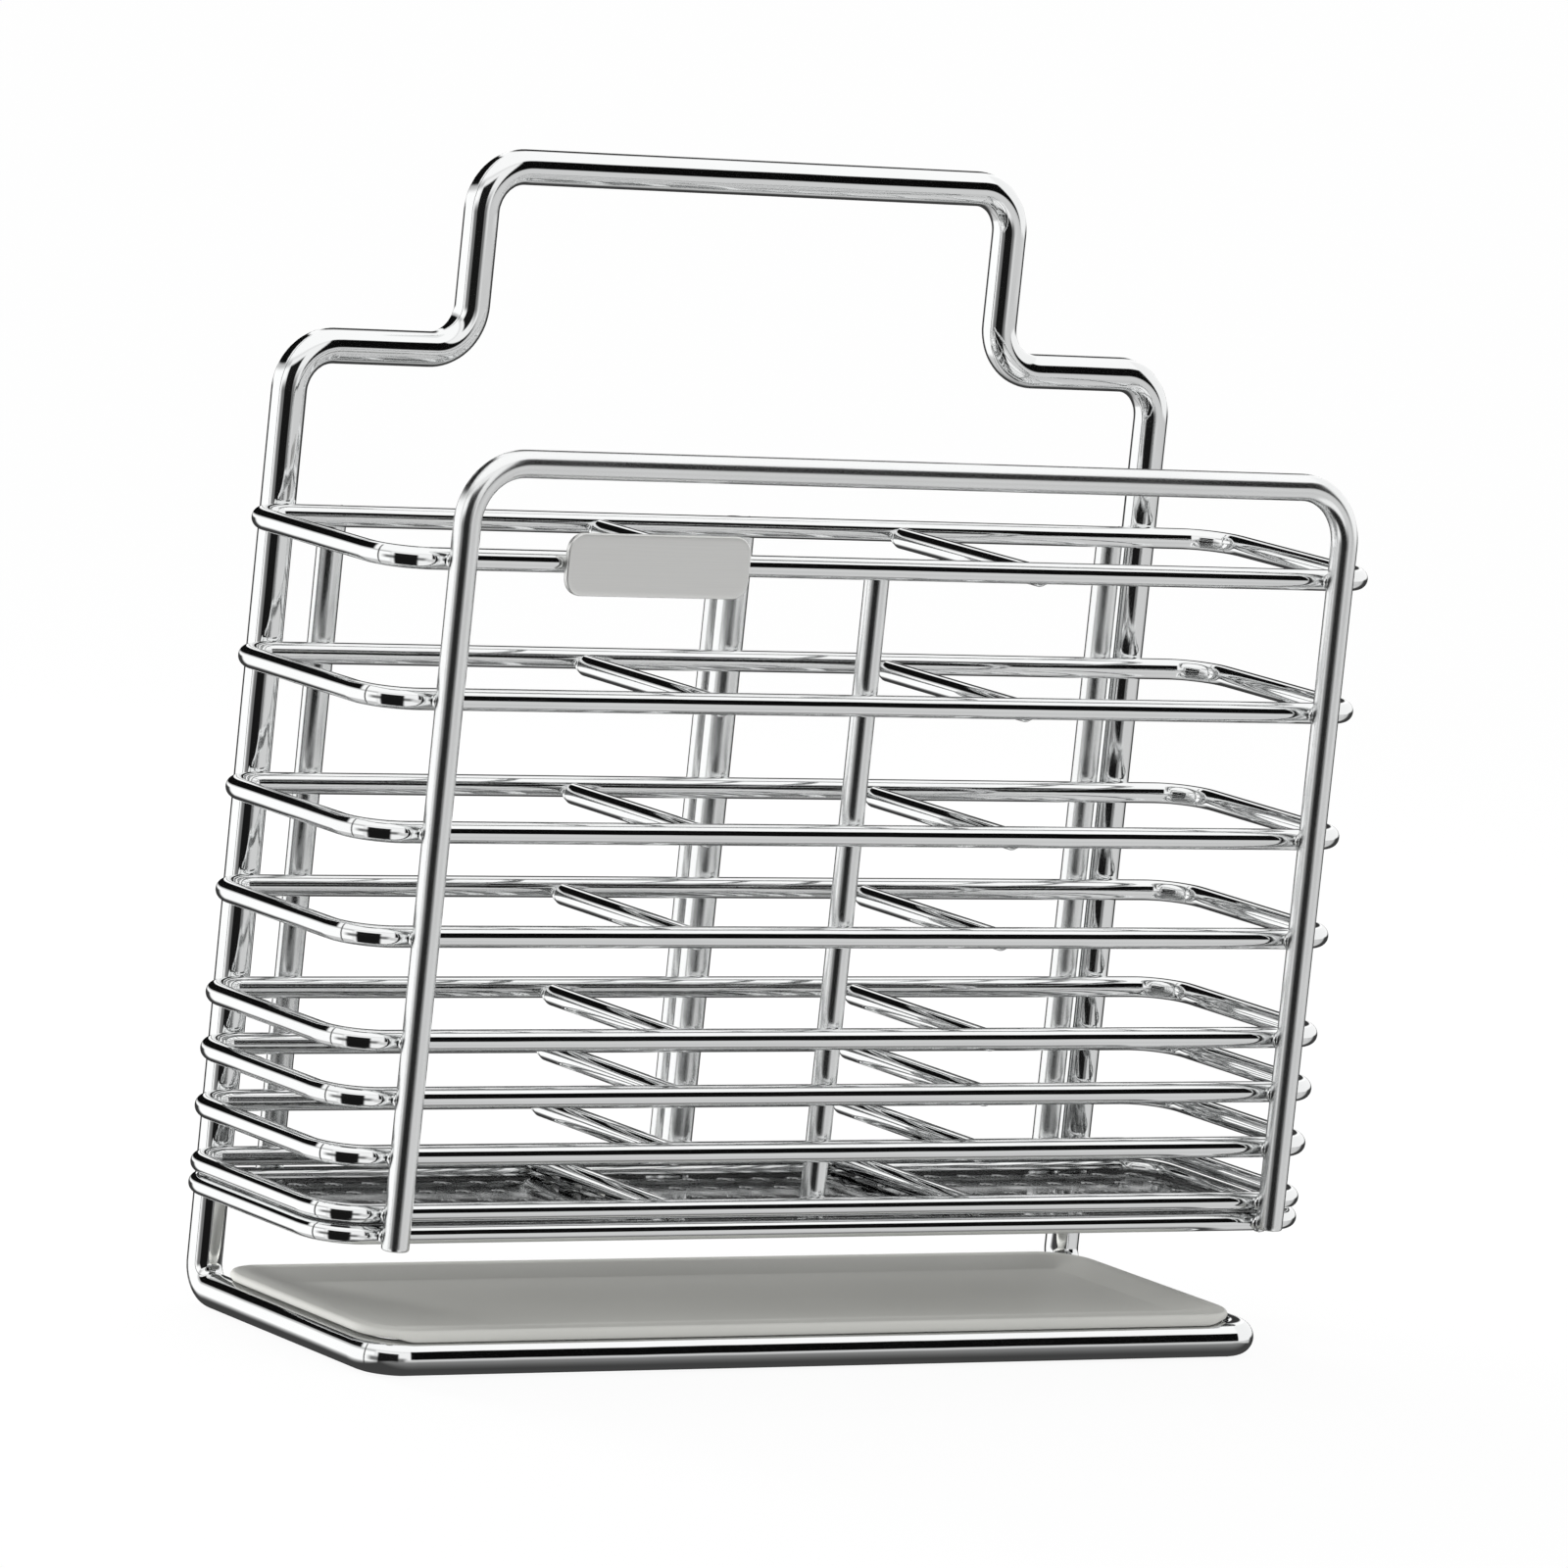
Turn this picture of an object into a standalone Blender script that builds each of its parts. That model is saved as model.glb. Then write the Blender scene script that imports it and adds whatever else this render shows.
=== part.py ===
"""Wire utensil holder that hangs on a wall by its handle, with a lift-out drip tray.

Metres, +Z up. X runs along the wall, the wall is behind the part at +Y, and the bottom loop
stands at Z = 0. The ring centres lie on the root empty, which sets the middle of the whole
part's depth on Y = 0.
"""
import math

import bmesh
import bpy
from mathutils import Vector

MM = 0.001

# Gap at a weld, and gap under a piece that only rests on another
WELD_GAP = 0.3 * MM
SEAT_GAP = 0.3 * MM

# Wire stock, as diameters
RING_WIRE = 3.8 * MM
BASE_RING_WIRE = 3.4 * MM
PARTITION_WIRE = 3.8 * MM
CENTRE_WIRE = 4.4 * MM
BACK_WIRE = 4.8 * MM
MIDDLE_WIRE = 5.6 * MM
REAR_WIRE = 4.0 * MM
ARCH_WIRE = 4.8 * MM
FRAME_WIRE = 6.2 * MM

# Basket rings, measured between wire centres
RING_LENGTH = 205.3 * MM
RING_DEPTH = 48.9 * MM
RING_CORNER = 7.9 * MM
BASE_RING_HEIGHT = 23.4 * MM
BASKET_HEIGHT = 116.0 * MM
# Heights of rings 1 to 7, top down, above the base ring
RING_HEIGHT_SHARES = (1.0, 0.7936, 0.5972, 0.4426, 0.288, 0.203, 0.1166)

# Wires that cross each ring and part the basket into three
PARTITION_SPACING = 63.8 * MM
PARTITION_DROP = 0.9 * MM

# Upright wires: inset is from the ring's end, overrun is past the rings' centres
CENTRE_WIRE_OFFSET = -1.3 * MM
BACK_WIRE_INSET = 20.4 * MM
BACK_MIDDLE_OFFSET = 2.1 * MM
BACK_WIRE_OVERRUN = 1.0 * MM
# How far below the top ring the rearmost wire stops
REAR_WIRE_STOP = 0.4 * MM

# Front arch
ARCH_INSET = 11.1 * MM
ARCH_RISE = 17.1 * MM
ARCH_BEND = 10.5 * MM
ARCH_LEFT_TAIL = 1.9 * MM
ARCH_RIGHT_TAIL = 0.6 * MM

# Frame: one closed wire that makes the handle, the shoulders, the legs and the bottom loop
FRAME_OFFSET = -2.1 * MM
FRAME_INSET = 11.6 * MM
HANDLE_WIDTH = 111.4 * MM
SHOULDER_RISE = 28.9 * MM
HANDLE_RISE = 32.4 * MM
FRAME_BEND = 8.0 * MM
FOOT_BEND = 4.6 * MM
LOOP_CORNER = 5.5 * MM
LOOP_OVERHANG = 5.6 * MM

# Name plate on the top ring
PLATE_LENGTH = 37.0 * MM
PLATE_HEIGHT = 10.8 * MM
PLATE_THICKNESS = 1.2 * MM
PLATE_CORNER = 3.2 * MM
PLATE_OFFSET = -51.4 * MM

# Perforated basket floor
FLOOR_THICKNESS = 1.0 * MM
HOLE_DIAMETER = 2.6 * MM
HOLE_PITCH = 7.4 * MM
HOLE_MARGIN = 5.0 * MM

# Drip tray, which lies a little to the left of the loop's middle
TRAY_THICKNESS = 1.6 * MM
TRAY_OFFSET = -2.2 * MM
TRAY_SIDE_INSET = 0.2 * MM
TRAY_FRONT_LIP = 1.9 * MM
TRAY_LEG_GAP = 3.0 * MM
TRAY_CORNER = 8.5 * MM
TRAY_RIM = 3.0 * MM
TRAY_SLOPE = 6.5 * MM
TRAY_DROP = 0.8 * MM
TRAY_EDGE_ROUND = 0.4 * MM

# Steps in a bend, and sides of a drain hole
BEND_STEPS = 5
RING_BEND_STEPS = 4
HOLE_SIDES = 6

# Finishes: colour, metallic, roughness
CHROME = ((0.80, 0.80, 0.80, 1.0), 1.0, 0.06)
SATIN_STEEL = ((0.48, 0.48, 0.47, 1.0), 1.0, 0.35)
DARK_STEEL = ((0.30, 0.30, 0.30, 1.0), 1.0, 0.25)
GREY_PLASTIC = ((0.32, 0.33, 0.30, 1.0), 0.0, 0.50)

# Places worked out from the sizes above; ring centres lie on X = 0, Y = 0
RING_HALF_LENGTH = RING_LENGTH / 2
RING_HALF_DEPTH = RING_DEPTH / 2
TOP_RING_HEIGHT = BASE_RING_HEIGHT + BASKET_HEIGHT
SECOND_BASE_HEIGHT = BASE_RING_HEIGHT + BASE_RING_WIRE + WELD_GAP
RING_FACE = RING_HALF_DEPTH + RING_WIRE / 2 + WELD_GAP

ARCH_Y = -(RING_FACE + ARCH_WIRE / 2)
BACK_WIRE_Y = RING_FACE + BACK_WIRE / 2
MIDDLE_WIRE_Y = RING_FACE + MIDDLE_WIRE / 2
REAR_WIRE_Y = RING_FACE + MIDDLE_WIRE + WELD_GAP + REAR_WIRE / 2
LEG_Y = RING_FACE + FRAME_WIRE / 2
LOOP_FRONT_Y = -(RING_HALF_DEPTH + LOOP_OVERHANG)
CENTRE_WIRE_Y = -(RING_HALF_DEPTH - RING_WIRE / 2 - WELD_GAP - CENTRE_WIRE / 2)

LOOP_HEIGHT = FRAME_WIRE / 2
SHOULDER_HEIGHT = TOP_RING_HEIGHT + SHOULDER_RISE
FRAME_HALF_WIDTH = RING_HALF_LENGTH - FRAME_INSET

FRONT_MOST = LOOP_FRONT_Y - FRAME_WIRE / 2
BACK_MOST = REAR_WIRE_Y + REAR_WIRE / 2


def clear_scene():
    for obj in list(bpy.data.objects):
        bpy.data.objects.remove(obj, do_unlink=True)


def make_root():
    """The collection of the parts, and the empty that centres them."""
    parts = bpy.data.collections.new("utensil_holder")
    bpy.context.scene.collection.children.link(parts)
    root = bpy.data.objects.new("utensil_holder_root", None)
    root.location.y = -(FRONT_MOST + BACK_MOST) / 2
    parts.objects.link(root)
    return parts, root


def paint(obj, finish):
    """Give the object its own material from a finish."""
    colour, metallic, roughness = finish
    material = bpy.data.materials.new(obj.name + "_finish")
    material.use_nodes = True
    shader = material.node_tree.nodes["Principled BSDF"]
    shader.inputs["Base Color"].default_value = colour
    shader.inputs["Metallic"].default_value = metallic
    shader.inputs["Roughness"].default_value = roughness
    obj.data.materials.append(material)


def place(name, data, location, finish):
    """Put one named piece under the root."""
    obj = bpy.data.objects.new(name, data)
    PARTS.objects.link(obj)
    obj.parent = ROOT
    obj.location = location
    paint(obj, finish)
    return obj


def bend(before, corner, after, radius, steps):
    """Points of the arc that turns a run at a corner."""
    back = (before - corner).normalized()
    ahead = (after - corner).normalized()
    half = back.angle(ahead) / 2
    centre = corner + (back + ahead).normalized() * (radius / math.sin(half))
    spoke = corner + back * (radius / math.tan(half)) - centre
    turn = math.pi - 2 * half
    angles = [turn * step / steps for step in range(steps + 1)]
    return [centre + spoke * math.cos(a) - back * (radius * math.sin(a)) for a in angles]


def bent_path(corners, radii, steps):
    """A path of straight runs, turned at each corner with that corner's radius."""
    points = []
    for index, corner in enumerate(corners):
        if radii[index] == 0:
            points.append(corner)
            continue
        after = corners[(index + 1) % len(corners)]
        points += bend(corners[index - 1], corner, after, radii[index], steps)
    return points


def rounded_rectangle(length, depth, corner, steps):
    """A flat outline in X and Y round the origin."""
    x = length / 2
    y = depth / 2
    corners = [Vector((-x, -y, 0)), Vector((x, -y, 0)), Vector((x, y, 0)), Vector((-x, y, 0))]
    return bent_path(corners, [corner] * len(corners), steps)


def add_spline(curve, points, closed):
    spline = curve.splines.new("POLY")
    spline.points.add(len(points) - 1)
    for target, point in zip(spline.points, points):
        target.co = (point.x, point.y, point.z, 1)
    spline.use_cyclic_u = closed


def wire(name, points, diameter, location, closed=False):
    """A chromed round wire along a path."""
    curve = bpy.data.curves.new(name, "CURVE")
    curve.dimensions = "3D"
    curve.bevel_depth = diameter / 2
    curve.bevel_resolution = 2
    curve.use_fill_caps = True
    add_spline(curve, points, closed)
    return place(name, curve, location, CHROME)


def straight_wire(name, diameter, start, end):
    """A straight wire, with its origin at its start."""
    return wire(name, [Vector((0, 0, 0)), end - start], diameter, start)


def sheet(name, outlines, thickness, location, finish):
    """A flat sheet from an outer outline and the outlines of its holes."""
    curve = bpy.data.curves.new(name, "CURVE")
    curve.dimensions = "2D"
    curve.fill_mode = "BOTH"
    curve.extrude = thickness / 2
    for points in outlines:
        add_spline(curve, points, True)
    return place(name, curve, location, finish)


def ring_heights():
    """Height and wire of every ring, top down."""
    rings = [(BASE_RING_HEIGHT + share * BASKET_HEIGHT, RING_WIRE) for share in RING_HEIGHT_SHARES]
    return rings + [(SECOND_BASE_HEIGHT, BASE_RING_WIRE), (BASE_RING_HEIGHT, BASE_RING_WIRE)]


def make_rings():
    outline = rounded_rectangle(RING_LENGTH, RING_DEPTH, RING_CORNER, RING_BEND_STEPS)
    for number, (height, diameter) in enumerate(ring_heights(), start=1):
        wire(f"ring_{number}", outline, diameter, (0, 0, height), closed=True)


def make_partitions():
    """Two short wires across every ring but the lowest, a little below the ring's centre."""
    for number, (height, diameter) in enumerate(ring_heights()[:-1], start=1):
        reach = RING_HALF_DEPTH - diameter / 2 - WELD_GAP
        for side, x in (("left", -PARTITION_SPACING / 2), ("right", PARTITION_SPACING / 2)):
            start = Vector((x, -reach, height - PARTITION_DROP))
            end = Vector((x, reach, height - PARTITION_DROP))
            straight_wire(f"partition_{side}_{number}", PARTITION_WIRE, start, end)


def make_back_wires():
    """Three uprights behind the rings, and a second one behind the middle one."""
    bottom = BASE_RING_HEIGHT - BACK_WIRE_OVERRUN
    top = TOP_RING_HEIGHT + BACK_WIRE_OVERRUN
    spread = RING_HALF_LENGTH - BACK_WIRE_INSET
    rear_top = TOP_RING_HEIGHT - REAR_WIRE_STOP
    places = {
        "back_wire_left": (BACK_WIRE, -spread, BACK_WIRE_Y, top),
        "back_wire_right": (BACK_WIRE, spread, BACK_WIRE_Y, top),
        "back_wire_middle": (MIDDLE_WIRE, BACK_MIDDLE_OFFSET, MIDDLE_WIRE_Y, top),
        "back_wire_rear": (REAR_WIRE, BACK_MIDDLE_OFFSET, REAR_WIRE_Y, rear_top),
    }
    for name, (diameter, x, y, end) in places.items():
        straight_wire(name, diameter, Vector((x, y, bottom)), Vector((x, y, end)))


def make_centre_wire():
    """The upright behind the front of the rings, standing on the basket floor."""
    bottom = BASE_RING_HEIGHT + FLOOR_THICKNESS / 2 + SEAT_GAP
    start = Vector((CENTRE_WIRE_OFFSET, CENTRE_WIRE_Y, bottom))
    end = Vector((CENTRE_WIRE_OFFSET, CENTRE_WIRE_Y, TOP_RING_HEIGHT))
    straight_wire("front_centre_wire", CENTRE_WIRE, start, end)


def make_arch():
    """The hoop in front of the rings, over the basket's mouth."""
    x = RING_HALF_LENGTH - ARCH_INSET
    top = BASKET_HEIGHT + ARCH_RISE
    corners = [
        Vector((-x, 0, -ARCH_LEFT_TAIL)),
        Vector((-x, 0, top)),
        Vector((x, 0, top)),
        Vector((x, 0, -ARCH_RIGHT_TAIL)),
    ]
    path = bent_path(corners, [0, ARCH_BEND, ARCH_BEND, 0], BEND_STEPS)
    wire("front_arch", path, ARCH_WIRE, (0, ARCH_Y, BASE_RING_HEIGHT))


def make_frame():
    """The handle, shoulders, legs and bottom loop, bent from one closed wire."""
    leg = FRAME_HALF_WIDTH
    grip = HANDLE_WIDTH / 2
    shoulder = SHOULDER_HEIGHT - LOOP_HEIGHT
    top = shoulder + HANDLE_RISE
    reach = LOOP_FRONT_Y - LEG_Y
    left_half = [
        (Vector((-grip, 0, top)), FRAME_BEND),
        (Vector((-grip, 0, shoulder)), FRAME_BEND),
        (Vector((-leg, 0, shoulder)), FRAME_BEND),
        (Vector((-leg, 0, 0)), FOOT_BEND),
        (Vector((-leg, reach, 0)), LOOP_CORNER),
    ]
    mirror = Vector((-1, 1, 1))
    right_half = [(corner * mirror, radius) for corner, radius in reversed(left_half)]
    corners, radii = zip(*(left_half + right_half))
    path = bent_path(corners, radii, BEND_STEPS)
    wire("frame", path, FRAME_WIRE, (FRAME_OFFSET, LEG_Y, LOOP_HEIGHT), closed=True)


def make_name_plate():
    """A small blank plate on the front of the top ring."""
    outline = rounded_rectangle(PLATE_LENGTH, PLATE_HEIGHT, PLATE_CORNER, BEND_STEPS)
    y = -(RING_FACE + PLATE_THICKNESS / 2)
    place_at = (PLATE_OFFSET, y, TOP_RING_HEIGHT)
    plate = sheet("name_plate", [outline], PLATE_THICKNESS, place_at, SATIN_STEEL)
    plate.rotation_euler.x = math.radians(90)


def make_floor():
    """The perforated sheet inside the lowest ring."""
    inset = BASE_RING_WIRE / 2 + WELD_GAP
    length = RING_LENGTH - 2 * inset
    depth = RING_DEPTH - 2 * inset
    outline = rounded_rectangle(length, depth, RING_CORNER - inset, RING_BEND_STEPS)
    hole = [
        Vector((math.cos(a), math.sin(a), 0)) * HOLE_DIAMETER / 2
        for a in (math.tau * side / HOLE_SIDES for side in range(HOLE_SIDES))
    ]
    columns = int((length - 2 * HOLE_MARGIN) / HOLE_PITCH) + 1
    rows = int((depth - 2 * HOLE_MARGIN) / HOLE_PITCH) + 1
    outlines = [outline]
    for column in range(columns):
        for row in range(rows):
            x = (column - (columns - 1) / 2) * HOLE_PITCH
            y = (row - (rows - 1) / 2) * HOLE_PITCH
            outlines.append([point + Vector((x, y, 0)) for point in hole])
    sheet("basket_floor", outlines, FLOOR_THICKNESS, (0, 0, BASE_RING_HEIGHT), DARK_STEEL)


def make_tray():
    """The drip tray: a rim on the loop's bars, and a shallow pan between them."""
    front = LOOP_FRONT_Y - TRAY_FRONT_LIP
    back = LEG_Y - FRAME_WIRE / 2 - TRAY_LEG_GAP
    length = 2 * (FRAME_HALF_WIDTH - TRAY_SIDE_INSET)
    top = FRAME_WIRE + SEAT_GAP + TRAY_THICKNESS
    bm = bmesh.new()
    bmesh.ops.create_grid(bm, x_segments=1, y_segments=1, size=0.5)
    bmesh.ops.scale(bm, vec=(length, back - front, 1), verts=bm.verts)
    bmesh.ops.bevel(
        bm, geom=bm.verts[:], offset=TRAY_CORNER, segments=BEND_STEPS, profile=0.5, affect="VERTICES"
    )
    pan = bm.faces[:]
    bmesh.ops.inset_individual(bm, faces=pan, thickness=TRAY_RIM)
    bmesh.ops.inset_individual(bm, faces=pan, thickness=TRAY_SLOPE, depth=-TRAY_DROP)
    mesh = bpy.data.meshes.new("drip_tray")
    bm.to_mesh(mesh)
    bm.free()
    middle = (FRAME_OFFSET + TRAY_OFFSET, (front + back) / 2, top)
    tray = place("drip_tray", mesh, middle, GREY_PLASTIC)
    shell = tray.modifiers.new("thickness", "SOLIDIFY")
    shell.thickness = TRAY_THICKNESS
    shell.offset = -1
    edge = tray.modifiers.new("rounded_edge", "BEVEL")
    edge.width = TRAY_EDGE_ROUND
    edge.limit_method = "ANGLE"


clear_scene()
PARTS, ROOT = make_root()
make_frame()
make_arch()
make_centre_wire()
make_back_wires()
make_rings()
make_partitions()
make_name_plate()
make_floor()
make_tray()
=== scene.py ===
"""A chromed wire utensil holder with a drip tray, in a white photo studio.

Metres, +Z up, and +Y is towards the wall that the holder hangs on. Each wire is a round profile
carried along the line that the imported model's wire follows, and stands for that wire.
"""
import math

import bmesh
import bpy
import numpy as np
from mathutils import Matrix, Vector


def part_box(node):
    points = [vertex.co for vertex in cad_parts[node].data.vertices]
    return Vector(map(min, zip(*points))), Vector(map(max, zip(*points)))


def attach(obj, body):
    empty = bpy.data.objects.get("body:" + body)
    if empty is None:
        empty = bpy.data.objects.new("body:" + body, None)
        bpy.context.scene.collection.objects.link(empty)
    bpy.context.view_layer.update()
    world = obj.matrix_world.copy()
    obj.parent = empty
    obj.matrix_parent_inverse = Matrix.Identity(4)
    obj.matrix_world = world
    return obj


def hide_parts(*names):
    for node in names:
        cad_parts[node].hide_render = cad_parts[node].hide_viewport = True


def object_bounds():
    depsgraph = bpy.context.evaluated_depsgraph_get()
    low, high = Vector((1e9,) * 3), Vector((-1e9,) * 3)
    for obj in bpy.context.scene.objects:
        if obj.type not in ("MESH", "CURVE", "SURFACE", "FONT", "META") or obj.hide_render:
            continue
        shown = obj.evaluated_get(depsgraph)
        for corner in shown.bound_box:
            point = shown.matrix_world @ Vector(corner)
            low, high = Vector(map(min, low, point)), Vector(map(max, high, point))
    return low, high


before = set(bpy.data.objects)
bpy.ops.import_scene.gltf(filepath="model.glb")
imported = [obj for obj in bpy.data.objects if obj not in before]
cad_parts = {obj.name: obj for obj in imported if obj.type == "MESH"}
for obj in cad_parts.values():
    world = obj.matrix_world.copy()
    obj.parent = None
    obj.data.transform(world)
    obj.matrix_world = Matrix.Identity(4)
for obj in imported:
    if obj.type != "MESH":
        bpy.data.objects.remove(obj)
cad_box = [list(corner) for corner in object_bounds()]

MM = 0.001

# Sides of a wire, and steps in its bends, in the rounding of its cut ends, and in a plate's corners
# and edges
WIRE_SIDES = 28
BEND_STEPS = 20
END_STEPS = 4
CORNER_STEPS = 12
EDGE_STEPS = 6

# Rounding of a cut wire's end, the share of the wire's radius at which the end's flat face has a
# ring of points, and the short run beside a bend that keeps long faces straight
END_ROUND = 0.45 * MM
END_FACE = 0.6
SUPPORT = 0.4 * MM

# Wire bends, as radii of the wire's middle
RING_CORNER = 7.9 * MM
ARCH_BEND = 10.5 * MM
FRAME_BEND = 8.0 * MM
FOOT_BEND = 4.6 * MM
LOOP_CORNER = 5.5 * MM

# The frame wire's radius, the handle's width and height between wire middles, and how much higher
# the arch is cut at its right end than at its left
FRAME_RADIUS = 3.1 * MM
HANDLE_WIDTH = 111.4 * MM
SHOULDER_DROP = 32.4 * MM
ARCH_STEP = 1.3 * MM

RINGS = 9
PARTITIONS = 8


# Small helpers on arrays of points

def unit(vectors):
    """Vectors scaled to length one."""
    vectors = np.asarray(vectors, float)
    return vectors / np.linalg.norm(vectors, axis=-1, keepdims=True)


def middle_and_half(node):
    """The middle and half size of a CAD node's box."""
    low, high = (np.array(corner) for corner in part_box(node))
    return (low + high) / 2, (high - low) / 2


# Meshes

def make_object(name, points, faces, material, smooth_angle=None):
    """A mesh object from an array of points and a list of arrays of faces."""
    mesh = bpy.data.meshes.new(name)
    polygons = [face for group in faces for face in np.asarray(group).tolist()]
    mesh.from_pydata(np.asarray(points, float).reshape(-1, 3).tolist(), [], polygons)
    mesh.shade_smooth()
    if smooth_angle is not None:
        mesh.set_sharp_from_angle(angle=math.radians(smooth_angle))
    mesh.materials.append(material)
    piece = bpy.data.objects.new(name, mesh)
    bpy.context.scene.collection.objects.link(piece)
    return piece


def grid_faces(rows, columns, close_rows):
    """Quads of a grid of points whose columns close on themselves, and its rows where asked."""
    row = np.arange(rows if close_rows else rows - 1)[:, None]
    column = np.arange(columns)[None, :]
    after = (row + 1) % rows
    beside = (column + 1) % columns
    quads = np.stack(np.broadcast_arrays(
        row * columns + column,
        row * columns + beside,
        after * columns + beside,
        after * columns + column,
    ), axis=-1)
    return quads.reshape(-1, 4)


# Wire paths: arrays of points, and of the direction of travel at each

def bend(before, corner, after, radius):
    """The arc of that radius that touches both runs, with a short straight run on either side.

    Its points are centre + spoke * cos t - back * radius * sin t, for a turn t that starts at 0."""
    back = unit(before - corner)
    ahead = unit(after - corner)
    half = math.acos(np.dot(back, ahead)) / 2
    reach = radius / math.tan(half)
    centre = corner + unit(back + ahead) * radius / math.sin(half)
    spoke = corner + back * reach - centre
    turn = np.linspace(0, math.pi - 2 * half, BEND_STEPS + 1)[:, None]
    points = centre + spoke * np.cos(turn) - back * radius * np.sin(turn)
    travel = -spoke / radius * np.sin(turn) - back * np.cos(turn)
    first = corner + back * (reach + SUPPORT)
    last = corner + ahead * (reach + SUPPORT)
    return np.vstack([first, points, last]), np.vstack([-back, travel, ahead])


def bent_path(corners, radii):
    """Straight runs turned at each corner; a radius of 0 is a cut end."""
    points = []
    travel = []
    for index, (corner, radius) in enumerate(zip(corners, radii)):
        before = corners[index - 1]
        after = corners[(index + 1) % len(corners)]
        if radius:
            arc, heading = bend(before, corner, after, radius)
        else:
            arc = corner[None]
            heading = unit(after - corner if index == 0 else corner - before)[None]
        points.append(arc)
        travel.append(heading)
    return np.vstack(points), np.vstack(travel)


def rounded_ends(points, travel, radius):
    """Adds stations at both cut ends, where the radius follows a quarter circle to a flat face."""
    turn = np.linspace(0, math.pi / 2, END_STEPS + 1)
    depth = np.concatenate([[0], END_ROUND * (1 - np.cos(turn)), [END_ROUND + SUPPORT]])
    size = np.concatenate([[END_FACE * radius], radius - END_ROUND * (1 - np.sin(turn)), [radius]])
    start = points[0] + travel[0] * depth[:, None]
    end = points[-1] - travel[-1] * depth[::-1, None]
    points = np.vstack([start, points[1:-1], end])
    travel = np.vstack([
        np.repeat(travel[:1], len(depth), axis=0),
        travel[1:-1],
        np.repeat(travel[-1:], len(depth), axis=0),
    ])
    sizes = np.concatenate([size, np.full(len(points) - 2 * len(size), radius), size[::-1]])
    return points, travel, sizes


def wire(name, path, radius, material, closed=False):
    """A round wire: path point + radius * (side cos a + up sin a), for angles a all round it.

    The side leans to one fixed direction that no run points along, so nothing twists at the seam."""
    points, travel = path
    sizes = np.full(len(points), radius)
    if not closed:
        points, travel, sizes = rounded_ends(points, travel, radius)
    lean = unit((1, 1, 1))
    side = unit(lean - travel * (travel @ lean)[:, None])
    up = np.cross(travel, side)
    angle = np.linspace(0, math.tau, WIRE_SIDES, endpoint=False)[None, :, None]
    profile = side[:, None] * np.cos(angle) + up[:, None] * np.sin(angle)
    surface = (points[:, None] + sizes[:, None, None] * profile).reshape(-1, 3)
    faces = [grid_faces(len(points), WIRE_SIDES, closed)]
    if not closed:
        column = np.arange(WIRE_SIDES)
        beside = (column + 1) % WIRE_SIDES
        last = (len(points) - 1) * WIRE_SIDES
        pole = len(surface)
        surface = np.vstack([surface, points[0], points[-1]])
        faces.append(np.stack([beside, column, np.full(WIRE_SIDES, pole)], axis=-1))
        faces.append(np.stack([last + column, last + beside, np.full(WIRE_SIDES, pole + 1)], axis=-1))
    return make_object(name, surface, faces, material)


def finish_piece(piece, slot, *nodes, body="rack"):
    """Puts a piece on its body, in place of its CAD nodes. The slot is not used."""
    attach(piece, body)
    if nodes:
        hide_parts(*nodes)


# Materials

def linear(hexcode):
    """An sRGB hex colour as linear red, green, blue and alpha."""
    channels = np.array([int(hexcode[i:i + 2], 16) for i in (1, 3, 5)]) / 255
    values = np.where(channels <= 0.04045, channels / 12.92, ((channels + 0.055) / 1.055) ** 2.4)
    return (*values.tolist(), 1.0)


def add(tree, kind, inputs=None, **settings):
    """Adds one node; an input is a value, or another node's output to link.

    Sockets that share a name are numbered: a colour mix has its share at 0, its two colours at 6
    and 7, and its result at 2."""
    node = tree.nodes.new(kind)
    for key, value in settings.items():
        setattr(node, key, value)
    for key, value in (inputs or {}).items():
        if isinstance(value, bpy.types.NodeSocket):
            tree.links.new(value, node.inputs[key])
        else:
            node.inputs[key].default_value = value
    return node


def new_material(name):
    """An empty node material, and the tree in it."""
    material = bpy.data.materials.new(name)
    material.use_nodes = True
    material.node_tree.nodes.clear()
    return material, material.node_tree


def use_surface(tree, shader):
    """Sends a shader to the material's output."""
    add(tree, "ShaderNodeOutputMaterial", {"Surface": shader})


def chrome_plated_wire(name, clearest, haziest):
    """Nickel-chrome plating on drawn steel wire, a little wavy from the drawing die.

    Its roughness lies between the clearest and the haziest value."""
    material, tree = new_material(name)
    place = add(tree, "ShaderNodeTexCoord").outputs["Object"]
    # Drawing waves about 16 mm long, with finer ones on them
    waves = add(tree, "ShaderNodeTexNoise", {"Vector": place, "Scale": 62.0, "Detail": 1.0})
    # Handling haze in patches of about 25 mm
    haze = add(tree, "ShaderNodeTexNoise", {"Vector": place, "Scale": 40.0, "Detail": 3.0})
    gloss = add(tree, "ShaderNodeMapRange", {
        "Value": haze.outputs["Fac"], "From Min": 0.35, "From Max": 0.75,
        "To Min": clearest, "To Max": haziest,
    })
    tone = add(tree, "ShaderNodeMix", {
        0: haze.outputs["Fac"], 6: linear("#EFF0F0"), 7: linear("#E4E5E5"),
    }, data_type="RGBA")
    bump = add(tree, "ShaderNodeBump", {
        "Height": waves.outputs["Fac"], "Strength": 0.5, "Distance": 0.4 * MM,
    })
    shader = add(tree, "ShaderNodeBsdfPrincipled", {
        "Base Color": tone.outputs[2], "Metallic": 1.0, "Roughness": gloss.outputs["Result"],
        "Normal": bump.outputs["Normal"],
    })
    use_surface(tree, shader.outputs["BSDF"])
    return material


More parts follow.
